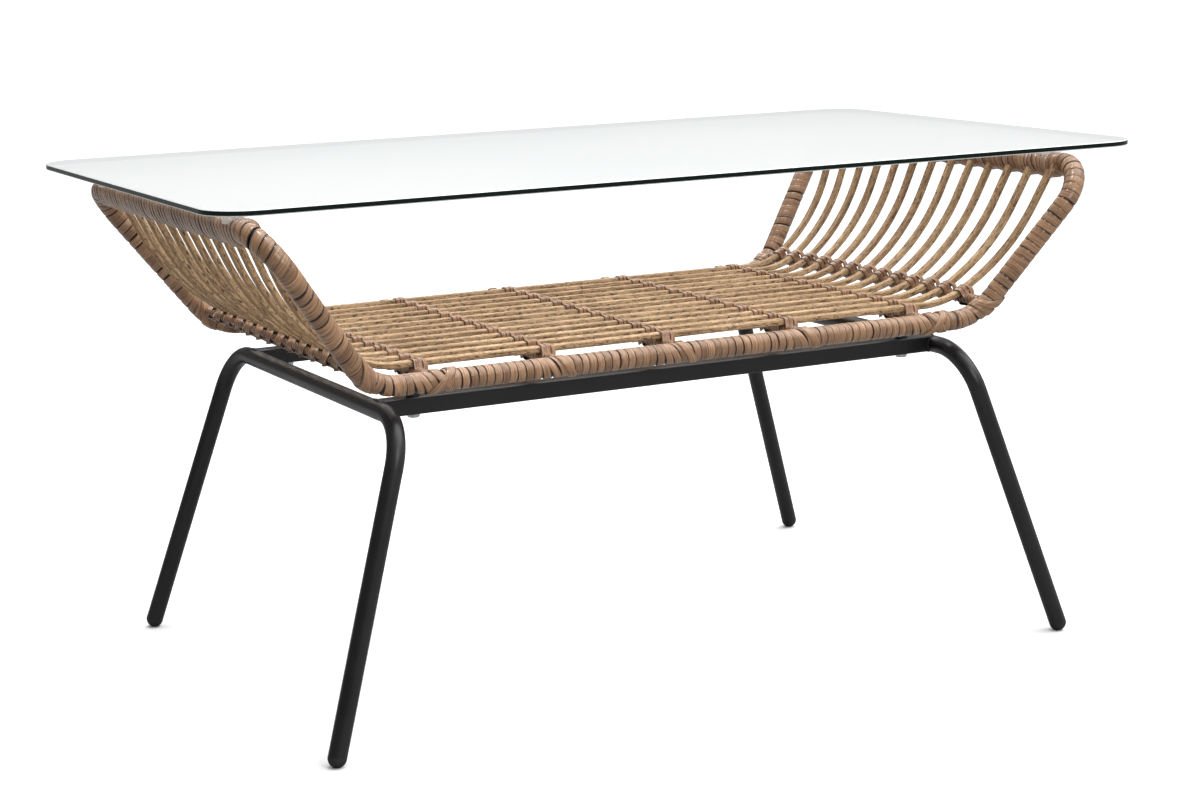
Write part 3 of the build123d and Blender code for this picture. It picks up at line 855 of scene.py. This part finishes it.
def weld_bead(name, end, bar_y, bar_z):
    """The rippled weld between a square side bar and the round leg tube."""
    cosine, sine = rounded_square(np.linspace(0, FULL_TURN, WELD_POINTS + 1), WELD_SQUARENESS)
    y = bar_y + WELD_HALF_WIDTH * cosine
    z = bar_z + WELD_HALF_HEIGHT * sine
    x = end * (WELD_X - np.sqrt(np.maximum(TUBE ** 2 - (z - LEG_Z) ** 2, 0)))
    line = np.stack([x, y, z], 1)
    radius = WELD_RADIUS * (1 + 0.16 * np.sin(np.linspace(0, FULL_TURN * WELD_RIPPLES, WELD_POINTS + 1)))
    tangent = np.gradient(line, axis=0)
    tangent /= np.linalg.norm(tangent, axis=1)[:, None]
    outward = np.tile(np.array([float(end), 0, 0]), (len(line), 1))
    side = np.cross(tangent, outward)
    side /= np.linalg.norm(side, axis=1)[:, None]
    around = np.linspace(0, FULL_TURN, 9)[:-1]
    ring = (np.cos(around)[None, :, None] * outward[:, None, :]
            + np.sin(around)[None, :, None] * side[:, None, :])
    points = line[:, None, :] + radius[:, None, None] * ring
    sheet = Sheet()
    sheet.grid(points, np.zeros((*points.shape[:2], 2)), 0.5, closed=True)
    place(sheet.build(name, leg_mat), "leg_steel")


for side_name in ("front", "back"):
    bar_low, bar_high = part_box(f"side_bar_{side_name}")
    for end, end_name in ((-1, "left"), (1, "right")):
        weld_bead(f"weld_{side_name}_{end_name}", end,
                  (bar_low[1] + bar_high[1]) / 2, (bar_low[2] + bar_high[2]) / 2)


# ------------------------------------------------------------------ floor and light
def paper_floor():
    """White paper to the camera. The light that it throws back up is much dimmer."""
    far = 40.0
    mesh = bpy.data.meshes.new("floor")
    mesh.from_pydata([(-far, -far, 0), (far, -far, 0), (far, far, 0), (-far, far, 0)], [], [(0, 1, 2, 3)])
    floor = bpy.data.objects.new("floor", mesh)
    bpy.context.scene.collection.objects.link(floor)
    material, tree, bsdf = new_material("floor_paper")
    paper = ramp(tree, object_noise(tree, 2.0), [(0.3, grey(0.93)), (0.7, grey(0.94))])
    seen = node(tree, "ShaderNodeLightPath").outputs["Is Camera Ray"]
    tree.links.new(mix(tree, seen, grey(0.30), paper), bsdf.inputs["Base Color"])
    bsdf.inputs["Roughness"].default_value = 0.9
    bsdf.inputs["Specular IOR Level"].default_value = 0.1
    mesh.materials.append(material)


def studio_room():
    """White to the camera. Its light comes from above and a little from the right."""
    world = bpy.data.worlds.new("room")
    world.use_nodes = True
    tree = world.node_tree
    towards_light = node(tree, "ShaderNodeVectorMath", operation="DOT_PRODUCT")
    tree.links.new(node(tree, "ShaderNodeTexCoord").outputs["Generated"], towards_light.inputs[0])
    towards_light.inputs[1].default_value = (0.42, 0.0, 0.91)
    levels = [(0.0, (0.17, 0.17, 0.175)), (0.35, (0.34, 0.34, 0.345)), (0.7, grey(1.0)), (1.0, grey(1.55))]
    light = ramp(tree, towards_light.outputs["Value"], levels)
    seen = node(tree, "ShaderNodeLightPath").outputs["Is Camera Ray"]
    tree.links.new(mix(tree, seen, light, grey(1.0)), tree.nodes["Background"].inputs["Color"])
    tree.nodes["Background"].inputs["Strength"].default_value = 1.0
    bpy.context.scene.world = world


def area_light(name, location, size, power):
    """A rectangular lamp that points at the middle of the table."""
    target = Vector((0, 0, 0.3))
    light = bpy.data.lights.new(name, "AREA")
    light.shape = "RECTANGLE"
    light.size, light.size_y = size
    light.energy = power
    ob = bpy.data.objects.new(name, light)
    ob.location = location
    ob.rotation_euler = (target - Vector(location)).to_track_quat("-Z", "Y").to_euler()
    bpy.context.scene.collection.objects.link(ob)


def sky_light():
    """A broad soft light from above and the right."""
    light = bpy.data.lights.new("sky", "SUN")
    light.energy = 1.55
    light.angle = math.radians(60)
    ob = bpy.data.objects.new("sky", light)
    ob.rotation_euler = (math.radians(8), math.radians(29), 0)
    bpy.context.scene.collection.objects.link(ob)


paper_floor()
studio_room()
area_light("key", location=(0.1, -2.7, 1.7), size=(1.2, 1.0), power=20)
area_light("back", location=(0.6, 2.6, 2.2), size=(2.4, 0.8), power=24)
area_light("glint", location=(0.0, 0.2, 2.7), size=(0.45, 0.45), power=18)
sky_light()
view = bpy.context.scene.view_settings
view.view_transform = "Standard"
view.look = "None"
view.exposure = 0.0

# ------------------------------------------------------------------ camera
# Where it stands, in metres, how it is turned, in radians, and its lens for a 36 mm frame.
EYE = np.array([-1.0582, -2.0321, 0.6779])
YAW = 0.4828
DOWN = 0.1957
ROLL = -0.0227
LENS = 74.025


def photo_camera():
    """The camera at the photograph's viewing angle."""
    forward = np.array([math.sin(YAW) * math.cos(DOWN), math.cos(YAW) * math.cos(DOWN), -math.sin(DOWN)])
    level = np.array([math.cos(YAW), -math.sin(YAW), 0])
    upright = np.cross(level, forward)
    right = math.cos(ROLL) * level + math.sin(ROLL) * upright
    above = -math.sin(ROLL) * level + math.cos(ROLL) * upright
    data = bpy.data.cameras.new("camera")
    data.sensor_width = 36.0
    data.lens = LENS
    data.clip_start, data.clip_end = 0.05, 100
    camera = bpy.data.objects.new("camera", data)
    camera.matrix_world = Matrix([*zip(right, above, -forward, EYE), (0, 0, 0, 1)])
    bpy.context.scene.collection.objects.link(camera)
    bpy.context.scene.camera = camera


photo_camera()
